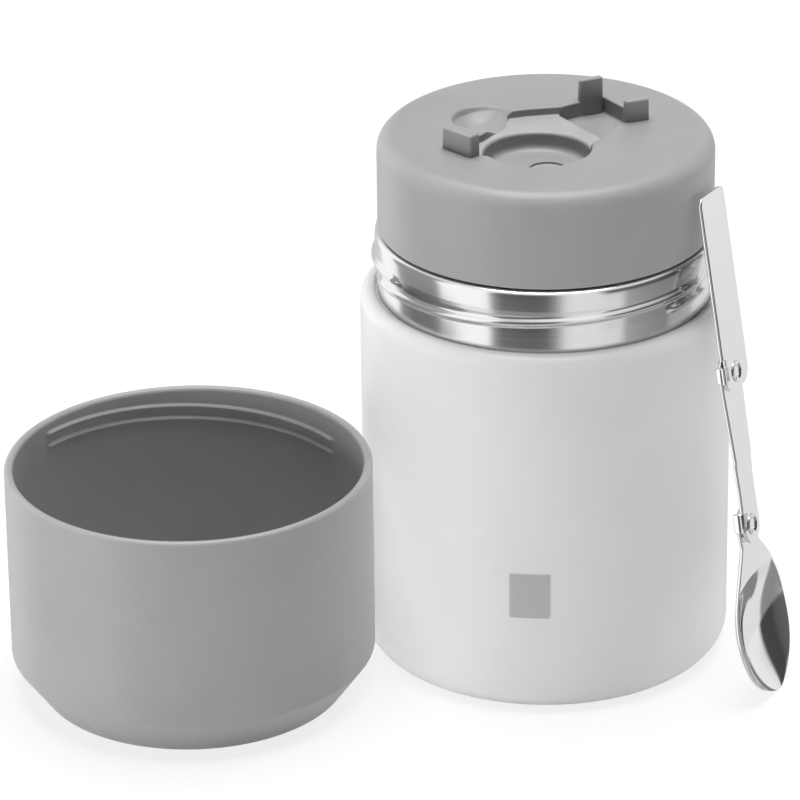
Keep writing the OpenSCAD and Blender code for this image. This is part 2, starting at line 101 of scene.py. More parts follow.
def grainGroup():
    # fine sandblasted grain: a bumpy normal and the mask of its dimples
    g, start, end = newGroup("fineGrain", [("Size", "NodeSocketFloat", 0.3), ("Depth", "NodeSocketFloat", 0.02),
                                           ("Normal", "NodeSocketVector", (0, 0, 0))],
                             [("Normal", "NodeSocketVector"), ("Dimples", "NodeSocketFloat")])
    rate = combine(g, "DIVIDE", 1.0, start.outputs["Size"])
    fine = addNode(g, "ShaderNodeTexNoise", {"Vector": objectPoint(g, 1000), "Scale": rate, "Detail": 2.0,
                                             "Roughness": 0.6})
    deep = combine(g, "MULTIPLY", start.outputs["Depth"], mm)
    bump = addNode(g, "ShaderNodeBump", {"Strength": 1.0, "Distance": deep, "Height": fine.outputs[0],
                                         "Normal": start.outputs["Normal"]})
    fill(g, end, {"Normal": bump.outputs[0], "Dimples": rise(g, fine.outputs[0], 0.35, 0.65)})
    return g


def brushGroup():
    # lines left by a brushing belt: stretched noise, finer across the lines than along them
    g, start, end = newGroup("brushLines", [("Stretch", "NodeSocketVector", (0.03, 0.03, 9)),
                                            ("Depth", "NodeSocketFloat", 0.004)],
                             [("Normal", "NodeSocketVector"), ("Lines", "NodeSocketFloat")])
    drawn = addNode(g, "ShaderNodeVectorMath", {0: objectPoint(g, 1000), 1: start.outputs["Stretch"]},
                    operation="MULTIPLY")
    noise = addNode(g, "ShaderNodeTexNoise", {"Vector": drawn.outputs[0], "Scale": 1.0, "Detail": 4.0,
                                              "Roughness": 0.65})
    deep = combine(g, "MULTIPLY", start.outputs["Depth"], mm)
    bump = addNode(g, "ShaderNodeBump", {"Strength": 1.0, "Distance": deep, "Height": noise.outputs[0]})
    fill(g, end, {"Normal": bump.outputs[0], "Lines": rise(g, noise.outputs[0], 0.3, 0.7)})
    return g


def handlingGroup():
    # broad soft patches, where hands and cloths have been
    g, start, end = newGroup("handling", [("Size", "NodeSocketFloat", 25.0)], [("Patches", "NodeSocketFloat")])
    rate = combine(g, "DIVIDE", 1000.0, start.outputs["Size"])
    noise = addNode(g, "ShaderNodeTexNoise", {"Vector": objectPoint(g), "Scale": rate, "Detail": 3.0,
                                              "Roughness": 0.55, "Distortion": 0.4})
    fill(g, end, {"Patches": rise(g, noise.outputs[0], 0.3, 0.7, interpolation_type="SMOOTHSTEP")})
    return g


def edgeGroup():
    # a mask that rises where a surface turns over an edge
    g, start, end = newGroup("edgeRub", [("Low", "NodeSocketFloat", 0.52), ("High", "NodeSocketFloat", 0.62)],
                             [("Edge", "NodeSocketFloat")])
    bend = addNode(g, "ShaderNodeNewGeometry").outputs["Pointiness"]
    fill(g, end, {"Edge": rise(g, bend, start.outputs["Low"], start.outputs["High"])})
    return g


fineGrain = grainGroup()
brushLines = brushGroup()
handling = handlingGroup()
edgeRub = edgeGroup()
print("shared effects ready")


# Finishes

def newFinish(name):
    finish = bpy.data.materials.new(name)
    finish.use_nodes = True
    return finish, finish.node_tree, finish.node_tree.nodes["Principled BSDF"]


def toned(colour, factor=1.0):
    return (*(min(1, c * factor) for c in colour), 1)


def mixColour(tree, amount, under, over):
    return addNode(tree, "ShaderNodeMix", {0: amount, 6: under, 7: over}, data_type="RGBA").outputs[2]


def blendValue(tree, amount, low, high):
    return rise(tree, amount, 0.0, 1.0, low, high)


paintLook = dict(dark=(0.83, 0.832, 0.84), light=(0.86, 0.861, 0.866), smooth=0.34, rough=0.42, peelSize=1.3,
                 peelDepth=0.006)


def paintFinish():
    # white satin powder paint with a faint orange peel
    finish, tree, shader = newFinish("satinWhitePaint")
    hands = place(tree, handling, size=38.0).outputs[0]
    peel = place(tree, fineGrain, size=paintLook["peelSize"], depth=paintLook["peelDepth"])
    dust = place(tree, fineGrain, size=0.16, depth=0.0016, normal=peel.outputs["Normal"])
    fill(tree, shader, {"Base Color": mixColour(tree, hands, toned(paintLook["dark"]), toned(paintLook["light"])),
                        "Roughness": blendValue(tree, hands, paintLook["smooth"], paintLook["rough"]),
                        "Normal": dust.outputs["Normal"]})
    return finish


def plasticFinish(name, colour, smooth, rough, size=0.32, depth=0.012, edge=0.06):
    # moulded plastic with a fine matt grain, a little paler where its edges are rubbed
    finish, tree, shader = newFinish(name)
    hands = place(tree, handling, size=30.0).outputs[0]
    grain = place(tree, fineGrain, size=size, depth=depth)
    rub = place(tree, edgeRub, low=0.515, high=0.6).outputs[0]
    body = mixColour(tree, hands, toned(colour, 0.965), toned(colour, 1.03))
    speck = mixColour(tree, blendValue(tree, grain.outputs["Dimples"], 0.0, 0.12), body, toned(colour, 0.7))
    fill(tree, shader, {"Base Color": mixColour(tree, blendValue(tree, rub, 0.0, edge), speck, toned(colour, 1.9)),
                        "Roughness": blendValue(tree, hands, smooth, rough),
                        "Normal": grain.outputs["Normal"], "IOR": 1.48})
    return finish


# painted shade on the upright walls of the lid's recesses and clips: out to reach, above floor, less from foot to tip
recessShade = dict(reach=(0.036, 0.037), floor=(0.1455, 0.1465), foot=0.1566, tip=0.1635, footShade=0.62, tipShade=0.38,
                  colour=(0.1, 0.1, 0.1))


def lidFinishWithPaintedShade(t):
    # the lid's plastic, with painted shade that darkens the upright walls of its recesses and clips
    finish = plasticFinish("greyLidPlastic", (0.41, 0.41, 0.412), 0.34, 0.44)
    tree, shader = finish.node_tree, finish.node_tree.nodes["Principled BSDF"]
    coords = addNode(tree, "ShaderNodeTexCoord")
    upright = addNode(tree, "ShaderNodeSeparateXYZ", {0: coords.outputs["Normal"]}).outputs["Z"]
    height = addNode(tree, "ShaderNodeSeparateXYZ", {0: coords.outputs["Object"]}).outputs["Z"]
    flat = addNode(tree, "ShaderNodeVectorMath", {0: coords.outputs["Object"], 1: (1, 1, 0)}, operation="MULTIPLY")
    reach = addNode(tree, "ShaderNodeVectorMath", {0: flat.outputs[0]}, operation="LENGTH").outputs["Value"]
    mask = combine(tree, "MULTIPLY", rise(tree, upright, 0.15, 0.8, 1.0, 0.0), rise(tree, reach, *t["reach"], 1.0, 0.0))
    mask = combine(tree, "MULTIPLY", mask, rise(tree, height, *t["floor"]))
    mask = combine(tree, "MULTIPLY", mask, rise(tree, height, t["foot"], t["tip"], t["footShade"], t["tipShade"]))
    plain = shader.inputs["Base Color"].links[0].from_socket
    # painted shade: the recess walls and clips are mixed towards a dark grey
    fill(tree, shader, {"Base Color": mixColour(tree, mask, plain, toned(t["colour"]))})
    return finish


def steelFinish(name, colour, smooth, rough, stretch, depth, around=False, metal=1.0):
    # steel with brushing lines; around draws its highlights out along the upright axis
    finish, tree, shader = newFinish(name)
    brushed = place(tree, brushLines, stretch=stretch, depth=depth)
    lines = brushed.outputs["Lines"]
    hands = place(tree, handling, size=22.0).outputs[0]
    worn = combine(tree, "MULTIPLY", blendValue(tree, lines, smooth, rough), blendValue(tree, hands, 0.92, 1.1))
    fill(tree, shader, {"Base Color": mixColour(tree, lines, toned(colour, 0.93), toned(colour)),
                        "Roughness": worn, "Normal": brushed.outputs["Normal"], "Metallic": metal})
    if around:
        tangent = addNode(tree, "ShaderNodeTangent", direction_type="RADIAL", axis="Z")
        fill(tree, shader, {"Anisotropic": 0.85, "Anisotropic Rotation": 0.25, "Tangent": tangent.outputs[0]})
    return finish


def polishedFinish(name, colour, smooth, rough):
    # polished steel with hairline scratches lying every way
    finish, tree, shader = newFinish(name)
    first = place(tree, brushLines, stretch=(5.0, 0.5, 0.35), depth=0.0006)
    second = place(tree, brushLines, stretch=(0.6, 4.0, 2.6), depth=0.0006)
    both = combine(tree, "MULTIPLY", first.outputs["Lines"], second.outputs["Lines"])
    worn = combine(tree, "MAXIMUM", both, place(tree, handling, size=14.0).outputs[0])
    fill(tree, shader, {"Base Color": mixColour(tree, both, toned(colour, 0.97), toned(colour)),
                        "Roughness": blendValue(tree, worn, smooth, rough),
                        "Normal": first.outputs["Normal"], "Metallic": 1.0})
    return finish


def siliconeFinish():
    finish, tree, shader = newFinish("milkySilicone")
    hands = place(tree, handling, size=8.0).outputs[0]
    skin = place(tree, fineGrain, size=0.5, depth=0.006)
    fill(tree, shader, {"Base Color": mixColour(tree, hands, (0.66, 0.67, 0.67, 1), (0.76, 0.77, 0.76, 1)),
                        "Roughness": blendValue(tree, hands, 0.38, 0.52), "Normal": skin.outputs["Normal"],
                        "Subsurface Weight": 0.25, "Subsurface Scale": 0.002})
    return finish


def foamFinish():
    finish, tree, shader = newFinish("paleFoam")
    cells = addNode(tree, "ShaderNodeTexVoronoi", {"Vector": objectPoint(tree), "Scale": 900.0})
    bump = addNode(tree, "ShaderNodeBump", {"Strength": 0.8, "Distance": 0.0003, "Height": cells.outputs[0]})
    hands = place(tree, handling, size=12.0).outputs[0]
    fill(tree, shader, {"Base Color": mixColour(tree, hands, (0.72, 0.68, 0.55, 1), (0.82, 0.79, 0.68, 1)),
                        "Normal": bump.outputs[0], "Roughness": blendValue(tree, hands, 0.85, 0.95)})
    return finish


whitePaint = paintFinish()
greyPlastic = lidFinishWithPaintedShade(recessShade)
# painted light: a paler copy of the lid's plastic for the spoon's land
litLandPlastic = plasticFinish("paintedLightLandPlastic", (0.54, 0.54, 0.542), 0.26, 0.34)
cupPlastic = plasticFinish("greyCupPlastic", (0.44, 0.44, 0.442), 0.34, 0.44)
palePlastic = plasticFinish("paleStopperPlastic", (0.62, 0.62, 0.62), 0.5, 0.6)
plugPlastic = plasticFinish("fillPlugPlastic", (0.44, 0.44, 0.442), 0.46, 0.56, size=0.4)
brushedSteel = steelFinish("brushedNeckSteel", (0.79, 0.785, 0.78), 0.13, 0.2, (0.03, 0.03, 9.0), 0.0014, around=True)
linerSteel = steelFinish("mattLinerSteel", (0.7, 0.7, 0.69), 0.3, 0.42, (0.05, 0.05, 3.5), 0.002, around=True)
spunSteel = steelFinish("spunBaseSteel", (0.66, 0.66, 0.65), 0.3, 0.42, (1.2, 1.2, 1.2), 0.003)
badgeSteel = steelFinish("satinBadgeSteel", (0.62, 0.62, 0.62), 0.42, 0.5, (7.0, 7.0, 0.1), 0.002, metal=0.3)
washerSteel = steelFinish("washerSteel", (0.55, 0.55, 0.55), 0.3, 0.4, (3.0, 3.0, 3.0), 0.002)
pelletSteel = steelFinish("sinteredGetter", (0.32, 0.31, 0.3), 0.6, 0.75, (4.0, 4.0, 4.0), 0.02)
spoonSteel = polishedFinish("polishedSpoonSteel", (0.86, 0.86, 0.86), 0.04, 0.1)
rivetSteel = polishedFinish("polishedRivetSteel", (0.84, 0.84, 0.84), 0.08, 0.18)
silicone = siliconeFinish()
foam = foamFinish()
sealResin = plasticFinish("darkSealResin", (0.06, 0.06, 0.065), 0.3, 0.45, size=1.1, depth=0.03)
print("finishes ready")


# Meshes

def newPiece(name, points, faces, body, finish, nodes, angle=38, weld=0.0, matrix=None):
    mesh = bpy.data.meshes.new(name)
    if matrix is not None:
        points = [matrix @ Vector(p) for p in points]
    mesh.from_pydata([(p[0] * mm, p[1] * mm, p[2] * mm) for p in points], [], faces)
    form = bmesh.new()
    form.from_mesh(mesh)
    if weld:
        bmesh.ops.remove_doubles(form, verts=form.verts, dist=weld * mm)
    bmesh.ops.recalc_face_normals(form, faces=form.faces)
    form.to_mesh(mesh)
    form.free()
    mesh.polygons.foreach_set("use_smooth", [True] * len(mesh.polygons))
    mesh.set_sharp_from_angle(angle=math.radians(angle))
    mesh.materials.append(finish)
    piece = bpy.data.objects.new(name, mesh)
    scene.collection.objects.link(piece)
    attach(piece, body)
    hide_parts(*nodes)
    return piece


def merged(*parts):
    # several (points, faces) lists as one
    points, faces = [], []
    for somePoints, someFaces in parts:
        offset = len(points)
        points += list(somePoints)
        faces += [tuple(i + offset for i in face) for face in someFaces]
    return points, faces


def turned(rows, columns, centre=(0, 0), closed=True):
    # revolves rows of (radius, height, bump) about an upright axis; bump(azimuth, height) adds to the radius
    points, faces, rings = [], [], []
    cosines = [math.cos(2 * math.pi * j / columns) for j in range(columns)]
    sines = [math.sin(2 * math.pi * j / columns) for j in range(columns)]
    for row in rows:
        radius, height = row[0], row[1]
        bump = row[2] if len(row) > 2 else None
        if radius < 1e-6:
            rings.append([len(points)])
            points.append((centre[0], centre[1], height))
            continue
        rings.append(range(len(points), len(points) + columns))
        for j in range(columns):
            reach = radius + (bump(360.0 * j / columns, height) if bump else 0)
            points.append((centre[0] + reach * cosines[j], centre[1] + reach * sines[j], height))
    pairs = list(zip(rings, rings[1:]))
    if closed:
        pairs.append((rings[-1], rings[0]))
    for low, high in pairs:
        for j in range(columns):
            k = (j + 1) % columns
            if len(low) == 1 and len(high) == 1:
                break
            if len(low) == 1:
                faces.append((low[0], high[k], high[j]))
            elif len(high) == 1:
                faces.append((low[j], low[k], high[0]))
            else:
                faces.append((low[j], low[k], high[k], high[j]))
    return points, faces


def softPath(corners, stepAngle=11.25):
    # a profile of (radius, height, rounding) corners with each corner rounded
    path = []
    for i, corner in enumerate(corners):
        here = Vector(corner[:2])
        rounding = corner[2] if len(corner) > 2 else 0
        if not rounding or i in (0, len(corners) - 1):
            path.append((here.x, here.y))
            continue
        toLast = (Vector(corners[i - 1][:2]) - here)
        toNext = (Vector(corners[i + 1][:2]) - here)
        u, v = toLast.normalized(), toNext.normalized()
        half = math.acos(max(-1, min(1, u.dot(v)))) / 2
        cut = min(rounding / math.tan(half), toLast.length, toNext.length)
        radius = cut * math.tan(half)
        centre = here + (u + v).normalized() * (cut / math.cos(half))
        first, last = here + u * cut - centre, here + v * cut - centre
        begin = math.atan2(first.y, first.x)
        sweep = (math.atan2(last.y, last.x) - begin + math.pi) % (2 * math.pi) - math.pi
        steps = max(2, math.ceil(abs(math.degrees(sweep)) / stepAngle))
        for s in range(steps + 1):
            a = begin + sweep * s / steps
            path.append((centre.x + radius * math.cos(a), centre.y + radius * math.sin(a)))
        # a close row before and after the rounding keeps the walls' shading flat
        if toLast.length > 4 * cut + 2:
            path.insert(len(path) - steps - 1, tuple(here + u * (cut + 0.25)))
        if toNext.length > 4 * cut + 2:
            path.append(tuple(here + v * (cut + 0.25)))
    return path


def helixBump(start, sweep, height, rise, lead, width, reach, starts=3, fade=1.0):
    # rolled thread ridges with rounded ends; start and sweep are in degrees
    def bump(azimuth, z):
        best = 0.0
        for k in range(starts):
            along = (azimuth - start - 360.0 * k / starts + 40) % 360 - 40
            if along > sweep + 20:
                continue
            over = max(-along, along - sweep, 0) * math.pi / 180 * reach * fade
            middle = height + lead * min(max(along, 0), sweep) / 360
            away = math.hypot(over, z - middle) / width
            if away < 1:
                best = max(best, math.cos(math.pi / 2 * away) ** 2)
        return rise * best
    return bump


def steppedRows(rows, bump=None, low=None, high=None, step=0.15):
    # rows between low and high are made dense, so that the bump has room
    dense = []
    for (r0, z0), (r1, z1) in zip(rows, rows[1:]):
        inside = bump and min(z0, z1) < high and max(z0, z1) > low and abs(z1 - z0) > step
        count = math.ceil(abs(z1 - z0) / step) if inside else 1
        dense += [(r0 + (r1 - r0) * i / count, z0 + (z1 - z0) * i / count, bump) for i in range(count)]
    dense.append((*rows[-1], bump))
    return dense


# Body shell

bodyShell = dict(radius=52.5, height=110.4, foot=8.0, shoulder=4.0, wall=0.6, baseOpening=41.0, neckOpening=48.2,
                 columns=360)


def makeBodyShell(b):
    wall, r, h = b["wall"], b["radius"], b["height"]
    outside = softPath([(b["baseOpening"], wall), (b["baseOpening"], 0, 0.15), (r, 0, b["foot"]),
                        (r, h, b["shoulder"]), (b["neckOpening"], h, 0.14), (b["neckOpening"], h - wall)], 7.5)
    inside = softPath([(b["neckOpening"], h - wall), (r - wall, h - wall, b["shoulder"] - wall),
                       (r - wall, wall, b["foot"] - wall), (b["baseOpening"], wall)], 7.5)
    points, faces = turned(outside + inside[1:-1], b["columns"])
    newPiece("bodyShell", points, faces, "jar", whitePaint, ["outer_shell"])


makeBodyShell(bodyShell)
print("body shell done")


# Neck with its two threads

neck = dict(columns=720,
            rows=[(50.0, 109.1), (48.5, 109.8), (47.7, 109.82), (47.7, 110.4), (47.7, 112.0), (47.7, 114.0),
                  (47.7, 116.0), (47.62, 117.4), (47.56, 118.6), (47.7, 119.3), (47.93, 120.1), (48.1, 121.2),
                  (48.2, 122.6), (48.2, 123.8), (48.18, 125.0), (48.14, 126.0)],
            shoulder=1.6, shoulderReach=48.03, stepTop=128.3, mouth=43.5, lip=140.4, wall=0.7, inner=47.0,
            bead=dict(start=-163, sweep=130, height=116.93, rise=1.2, lead=12, width=1.8, reach=48, fade=0.4),
            lidThread=dict(start=-60, sweep=150, height=132.3, rise=1.25, lead=12, width=1.35, reach=44))


def makeNeck(n):
    bead, thread = helixBump(**n["bead"]), helixBump(**n["lidThread"])
    rows = [(r, z, None) for r, z in n["rows"][:4]]
    rows += steppedRows(n["rows"][4:], bead, 111, 127, 0.15)
    r0, z0 = n["rows"][-1]
    curve = softPath([(r0, z0), (n["shoulderReach"], n["stepTop"], n["shoulder"]), (n["mouth"], n["stepTop"], 0.45),
                      (n["mouth"], n["lip"])])
    rows += [(r, z, None) for r, z in curve[1:] if z <= n["stepTop"] + 0.5]
    wall = [(n["mouth"], n["stepTop"] + 0.5 + 0.1 * i) for i in range(3)] + [(n["mouth"], n["lip"])]
    rows += steppedRows(wall, thread, 128, 140, 0.22)
    t = n["wall"]
    rows += [(n["mouth"] - t, n["lip"], None), (n["mouth"] - t, n["stepTop"] - t, None),
             (45.9, n["stepTop"] - t, None), (n["inner"], 126.5, None), (n["inner"], n["rows"][0][1], None)]
    points, faces = turned(rows, n["columns"])
    newPiece("neckCollar", points, faces, "jar", brushedSteel, ["neck_collar"])


makeNeck(neck)
print("neck done")


# Lid: a turned skirt, and a top whose recesses are heights over a triangle net drawn along their edges

lid = dict(radius=47.35, low=128.8, top=156.6, round=5.0, edge=0.8, bore=45.1, seat=144.5, columns=360,
           restTurn=33.0, roof=146.3,
           thread=dict(start=-60, sweep=150, height=130.3, rise=-1.25, lead=12, width=1.35, reach=45))
spoonRest = dict(
    land=[(-24.5, -5), (-24.5, 6.4), (-16, 8), (-9, 11.3), (-4.5, 14.5), (-0.6, 18), (5, 16.4), (10, 14.2),
          (14, 12.4), (14, -9.9), (8.7, -13.2), (4.8, -14.1), (-4, -12)],
    slot=[(13, 12.4), (28, 12.2), (28, -6.6), (21.5, -7.3), (18.5, -8.1), (13, -10.8)],
    landDepth=2.2, slotDepth=4.5, wellAt=(-7.9, -7.5), wellRadius=15.0, wellDepth=7.2, wellTop=1.1, wellBottom=2.3,
    plugAt=(-5.5, -9), plugHole=5.5, plugDepth=1.0, scoopAt=(-8.6, 17.3), scoopRadius=9.5, scoopDepth=3.4,
    scoopLip=1.1, soft=0.55, foot=0.4, draft=0.25, wellDraft=0.45)
# how far along a rounding its rows lie, close where it turns most
roundSteps = (1, 0.69, 0.41, 0.19, 0.05, 0)
clips = [dict(at=(-27.8, 1.0), size=(3.9, 11.4), turn=12, low=-2.2),
         dict(at=(24.1, 12.6), size=(7.4, 2.2), turn=-10, low=-5.5),
         dict(at=(25.4, -7.8), size=(7.4, 2.4), turn=-13, low=-5.5)]
clipHeight, clipRound = 6.5, 0.75


def roundedOutline(corners, radius):
    outline = []
    count = len(corners)
    for i in range(count):
        last, here, after = (Vector(corners[(i + k) % count]) for k in (-1, 0, 1))
        u, v = (last - here), (after - here)
        lengths = min(u.length, v.length)
        u, v = u.normalized(), v.normalized()
        half = math.acos(max(-1, min(1, u.dot(v)))) / 2
        cut = min(radius / math.tan(half), 0.45 * lengths)
        r = cut * math.tan(half)
        centre = here + (u + v).normalized() * (cut / math.cos(half))
        first, end = here + u * cut - centre, here + v * cut - centre
        begin = math.atan2(first.y, first.x)
        sweep = (math.atan2(end.y, end.x) - begin + math.pi) % (2 * math.pi) - math.pi
        steps = max(1, math.ceil(abs(math.degrees(sweep)) / 15))
        outline += [centre + r * Vector((math.cos(begin + sweep * s / steps), math.sin(begin + sweep * s / steps)))
                    for s in range(steps + 1)]
    area = sum(a.x * b.y - b.x * a.y for a, b in zip(outline, outline[1:] + outline[:1]))
    return outline if area > 0 else outline[::-1]


def insideBy(outline):
    # distance in from an outline, negative outside it
    edges = [(a.x, a.y, b.x, b.y, b.x - a.x, b.y - a.y, max(1e-9, (b - a).length_squared))
             for a, b in zip(outline, outline[1:] + outline[:1])]

    def distance(x, y):
        best, within = 1e9, False
        for ax, ay, bx, by, dx, dy, long in edges:
            t = ((x - ax) * dx + (y - ay) * dy) / long
            t = 0 if t < 0 else 1 if t > 1 else t
            ex, ey = x - ax - t * dx, y - ay - t * dy
            near = ex * ex + ey * ey
            if near < best:
                best = near
            if (ay > y) != (by > y) and x < dx * (y - ay) / dy + ax:
                within = not within
        return math.sqrt(best) * (1 if within else -1)
    return distance


def offsetLoop(outline, inward, step=0.55):
    # points along an anticlockwise outline, moved inward
    dense = []
    for a, b in zip(outline, outline[1:] + outline[:1]):
        count = max(1, math.ceil((b - a).length / step))
        dense += [a.lerp(b, j / count) for j in range(count)]
    moved = []
    for i, p in enumerate(dense):
        along = (dense[(i + 1) % len(dense)] - dense[i - 1]).normalized()
        moved.append(p + Vector((-along.y, along.x)) * inward)
    return moved


def wallDrop(x, depth, top, bottom, draft):
    # drop at a distance x in from the edge of a recess with a rounded rim and a filleted floor
    if depth <= 0.01:
        return 0.0
    top, bottom = min(top, depth * 0.45), min(bottom, depth * 0.5)
    if x <= -top:
        return 0.0
    if x < 0:
        return top - math.sqrt(max(0, top * top - (x + top) ** 2))
    if x < draft:
        return top + (depth - top - bottom) * x / draft
    x -= draft
    if x < bottom:
        return depth - bottom + math.sqrt(max(0, bottom * bottom - (bottom - x) ** 2))
    return depth


def makeLid(l, s):
    land, slot = roundedOutline(s["land"], 1.2), roundedOutline(s["slot"], 0.9)
    inLand, inSlot = insideBy(land), insideBy(slot)
    ballRadius = (s["scoopRadius"] ** 2 + s["scoopDepth"] ** 2) / (2 * s["scoopDepth"])

    def drop(x, y):
        d = wallDrop(inLand(x, y), s["landDepth"], s["soft"], s["foot"], s["draft"])
        d += wallDrop(inSlot(x, y), s["slotDepth"] - d, s["soft"], s["foot"], s["draft"])
        away = math.hypot(x - s["wellAt"][0], y - s["wellAt"][1])
        d += wallDrop(s["wellRadius"] - away, s["wellDepth"] - d, s["wellTop"], s["wellBottom"], s["wellDraft"])
        fromPlug = math.hypot(x - s["plugAt"][0], y - s["plugAt"][1])
        if fromPlug < s["plugHole"] + 0.4:
            d += wallDrop(s["plugHole"] - fromPlug, s["plugDepth"], 0.18, 0.1, 0.05)
        off = math.hypot(x - s["scoopAt"][0], y - s["scoopAt"][1])
        if off < ballRadius:
            ball = math.sqrt(ballRadius ** 2 - off ** 2) - (ballRadius - s["scoopDepth"])
            # a steeper lip at the back left
            facing = (-(x - s["scoopAt"][0]) * 0.42 + (y - s["scoopAt"][1]) * 0.91) / max(0.1, off)
            ramp = min(1, max(0, (s["scoopRadius"] - off + 0.1) / 0.7))
            ball += s["scoopLip"] * max(0, facing) * ramp * ramp * (3 - 2 * ramp) * min(1, off / 4)
            gap, soft = ball - d, 0.5
            if abs(gap) < soft:
                d = max(d, ball) + (soft - abs(gap)) ** 2 / (4 * soft)
            else:
                d = max(d, ball)
        return d

    flat = l["radius"] - l["round"]
    loops = []
    soft, foot, draft = s["soft"], s["foot"], s["draft"]
    for outline in (land, slot):
        for inward in ([-soft - 0.2] + [-soft * k for k in roundSteps]
                       + [draft + foot * k for k in roundSteps[::-1]] + [draft + foot + 0.2]):
            loops.append(offsetLoop(outline, inward))

    def ring(centre, radius, count):
        return [Vector((centre[0] + radius * math.cos(2 * math.pi * j / count),
                        centre[1] + radius * math.sin(2 * math.pi * j / count))) for j in range(count)]

    inner = s["wellRadius"] - s["wellDraft"] - s["wellBottom"]
    radii = [s["wellRadius"] + s["wellTop"] + 0.25] + [s["wellRadius"] + s["wellTop"] * k for k in roundSteps]
    radii += [inner + s["wellBottom"] * k for k in (1, 0.95, 0.81, 0.59, 0.41, 0.24, 0.11, 0)] + [inner - 0.3]
    loops += [ring(s["wellAt"], r, 200) for r in radii]
    hole = s["plugHole"]
    holeSteps = (0.35, 0.18, 0.13, 0.07, 0.03, 0, -0.05, -0.08, -0.11, -0.15, -0.4)
    loops += [ring(s["plugAt"], hole + k, 120) for k in holeSteps]
    scoopRings = (1.2, 2.6, 4.0, 5.4, 6.6, 7.5, 8.1, 8.6, 9.0, 9.4, 9.9, 10.5)
    loops += [ring(s["scoopAt"], r, 90) for r in scoopRings]
    loops += [ring((0, 0), r, l["columns"]) for r in (flat, flat - 0.25, flat - 1.5)]
    coords, edges = [], []
    for loop in loops:
        offset = len(coords)
        coords += loop
        edges += [(offset + i, offset + (i + 1) % len(loop)) for i in range(len(loop))]
    net = geometry.delaunay_2d_cdt(coords, edges, [], 0, 1e-4)
    turn = math.radians(l["restTurn"])
    c, sn = math.cos(turn), math.sin(turn)
    topPoints = []
    for p in net[0]:
        edge = p.length > flat - 0.6
        topPoints.append((p.x * c - p.y * sn, p.x * sn + p.y * c, l["top"] - (0 if edge else drop(p.x, p.y))))
    # the net's rim is laid in the rest's own direction, so the skirt starts there too
    rim = [(r, z, None) for r, z in softPath([(flat, l["top"]), (l["radius"], l["top"], l["round"] - 0.001),
                                              (l["radius"], l["low"], l["edge"]), (l["bore"], l["low"], 0.4),
                                              (l["bore"], 129.5)], 7.5)]
    thread = helixBump(**l["thread"])
    bore = steppedRows([(l["bore"], 129.5), (l["bore"], 138.0)],
                       lambda a, z: thread(a + l["restTurn"], z), 127, 139, 0.16)
    bore += [(l["bore"], 139.0), (l["bore"], l["seat"]), (44.0, l["seat"]), (44.0, l["roof"]), (0, l["roof"])]
    skirtPoints, skirtFaces = turned(rim + bore[1:], l["columns"], closed=False)
    skirtPoints = [(x * c - y * sn, x * sn + y * c, z) for x, y, z in skirtPoints]
    points, faces = merged((topPoints, [tuple(f) for f in net[2]]), (skirtPoints, skirtFaces))
    points, faces = merged((points, faces), *[makeClip(clip, l["top"], turn) for clip in clips])
    cover = newPiece("lidCover", points, faces, "stopper", greyPlastic, ["lid_cover"], weld=0.004, angle=40)
    # painted light: the land, where the spoon lies, gets a paler copy of the lid's plastic, so that it looks more
    # brightly lit
    cover.data.materials.append(litLandPlastic)
    for polygon in cover.data.polygons:
        where = polygon.center / mm
        if abs(l["top"] - s["landDepth"] - where.z) < 0.08 and polygon.normal.z > 0.97:
            x, y = where.x * c + where.y * sn, where.y * c - where.x * sn
            if inLand(x, y) > 0 and inSlot(x, y) < 0:
                polygon.material_index = 1


def bevelledBlock(outline, low, high, bevel, segments=3, angle=25):
    # an upright block over an outline, with every edge rounded
    form = bmesh.new()
    under, over = ([form.verts.new((x, y, z)) for x, y in outline] for z in (low, high))
    form.faces.new(under[::-1])
    form.faces.new(over)
    for i in range(len(outline)):
        k = (i + 1) % len(outline)
        form.faces.new((under[i], under[k], over[k], over[i]))
    bmesh.ops.recalc_face_normals(form, faces=form.faces)
    sharp = [e for e in form.edges if e.is_manifold and e.calc_face_angle(0) > math.radians(angle)]
    bmesh.ops.bevel(form, geom=sharp, offset=bevel, segments=segments, profile=0.5, affect="EDGES")
    form.verts.index_update()
    points = [tuple(v.co) for v in form.verts]
    faces = [tuple(v.index for v in f.verts) for f in form.faces]
    form.free()
    return points, faces


def makeClip(clip, top, turn):
    x, y = clip["size"][0] / 2, clip["size"][1] / 2
    points, faces = bevelledBlock([(-x, -y), (x, -y), (x, y), (-x, y)], clip["low"], clipHeight, clipRound, 4)
    spin = Matrix.Rotation(turn, 4, "Z") @ Matrix.Translation((*clip["at"], 0)) @ Matrix.Rotation(
        math.radians(clip["turn"]), 4, "Z")
    placed = []
    for p in points:
        draw = 1 - 0.035 * max(0, p[2]) / clipHeight  # a little draft towards the tip
        q = spin @ Vector((p[0] * draw, p[1] * draw, p[2]))
        placed.append((q.x, q.y, q.z + top))
    return placed, faces


makeLid(lid, spoonRest)
print("lid done")


# Cup

cup = dict(away=104.9, azimuth=195, radius=51.9, bore=49.4, height=68.6, wall=2.5, foot=43.7, footHeight=11.75,
           columns=480, ridgeDrops=(5.8, 9.8), ridgeFall=1.733,
           ridge=dict(start=36, sweep=110, rise=-0.8, lead=12, width=1.0, reach=49, starts=2))


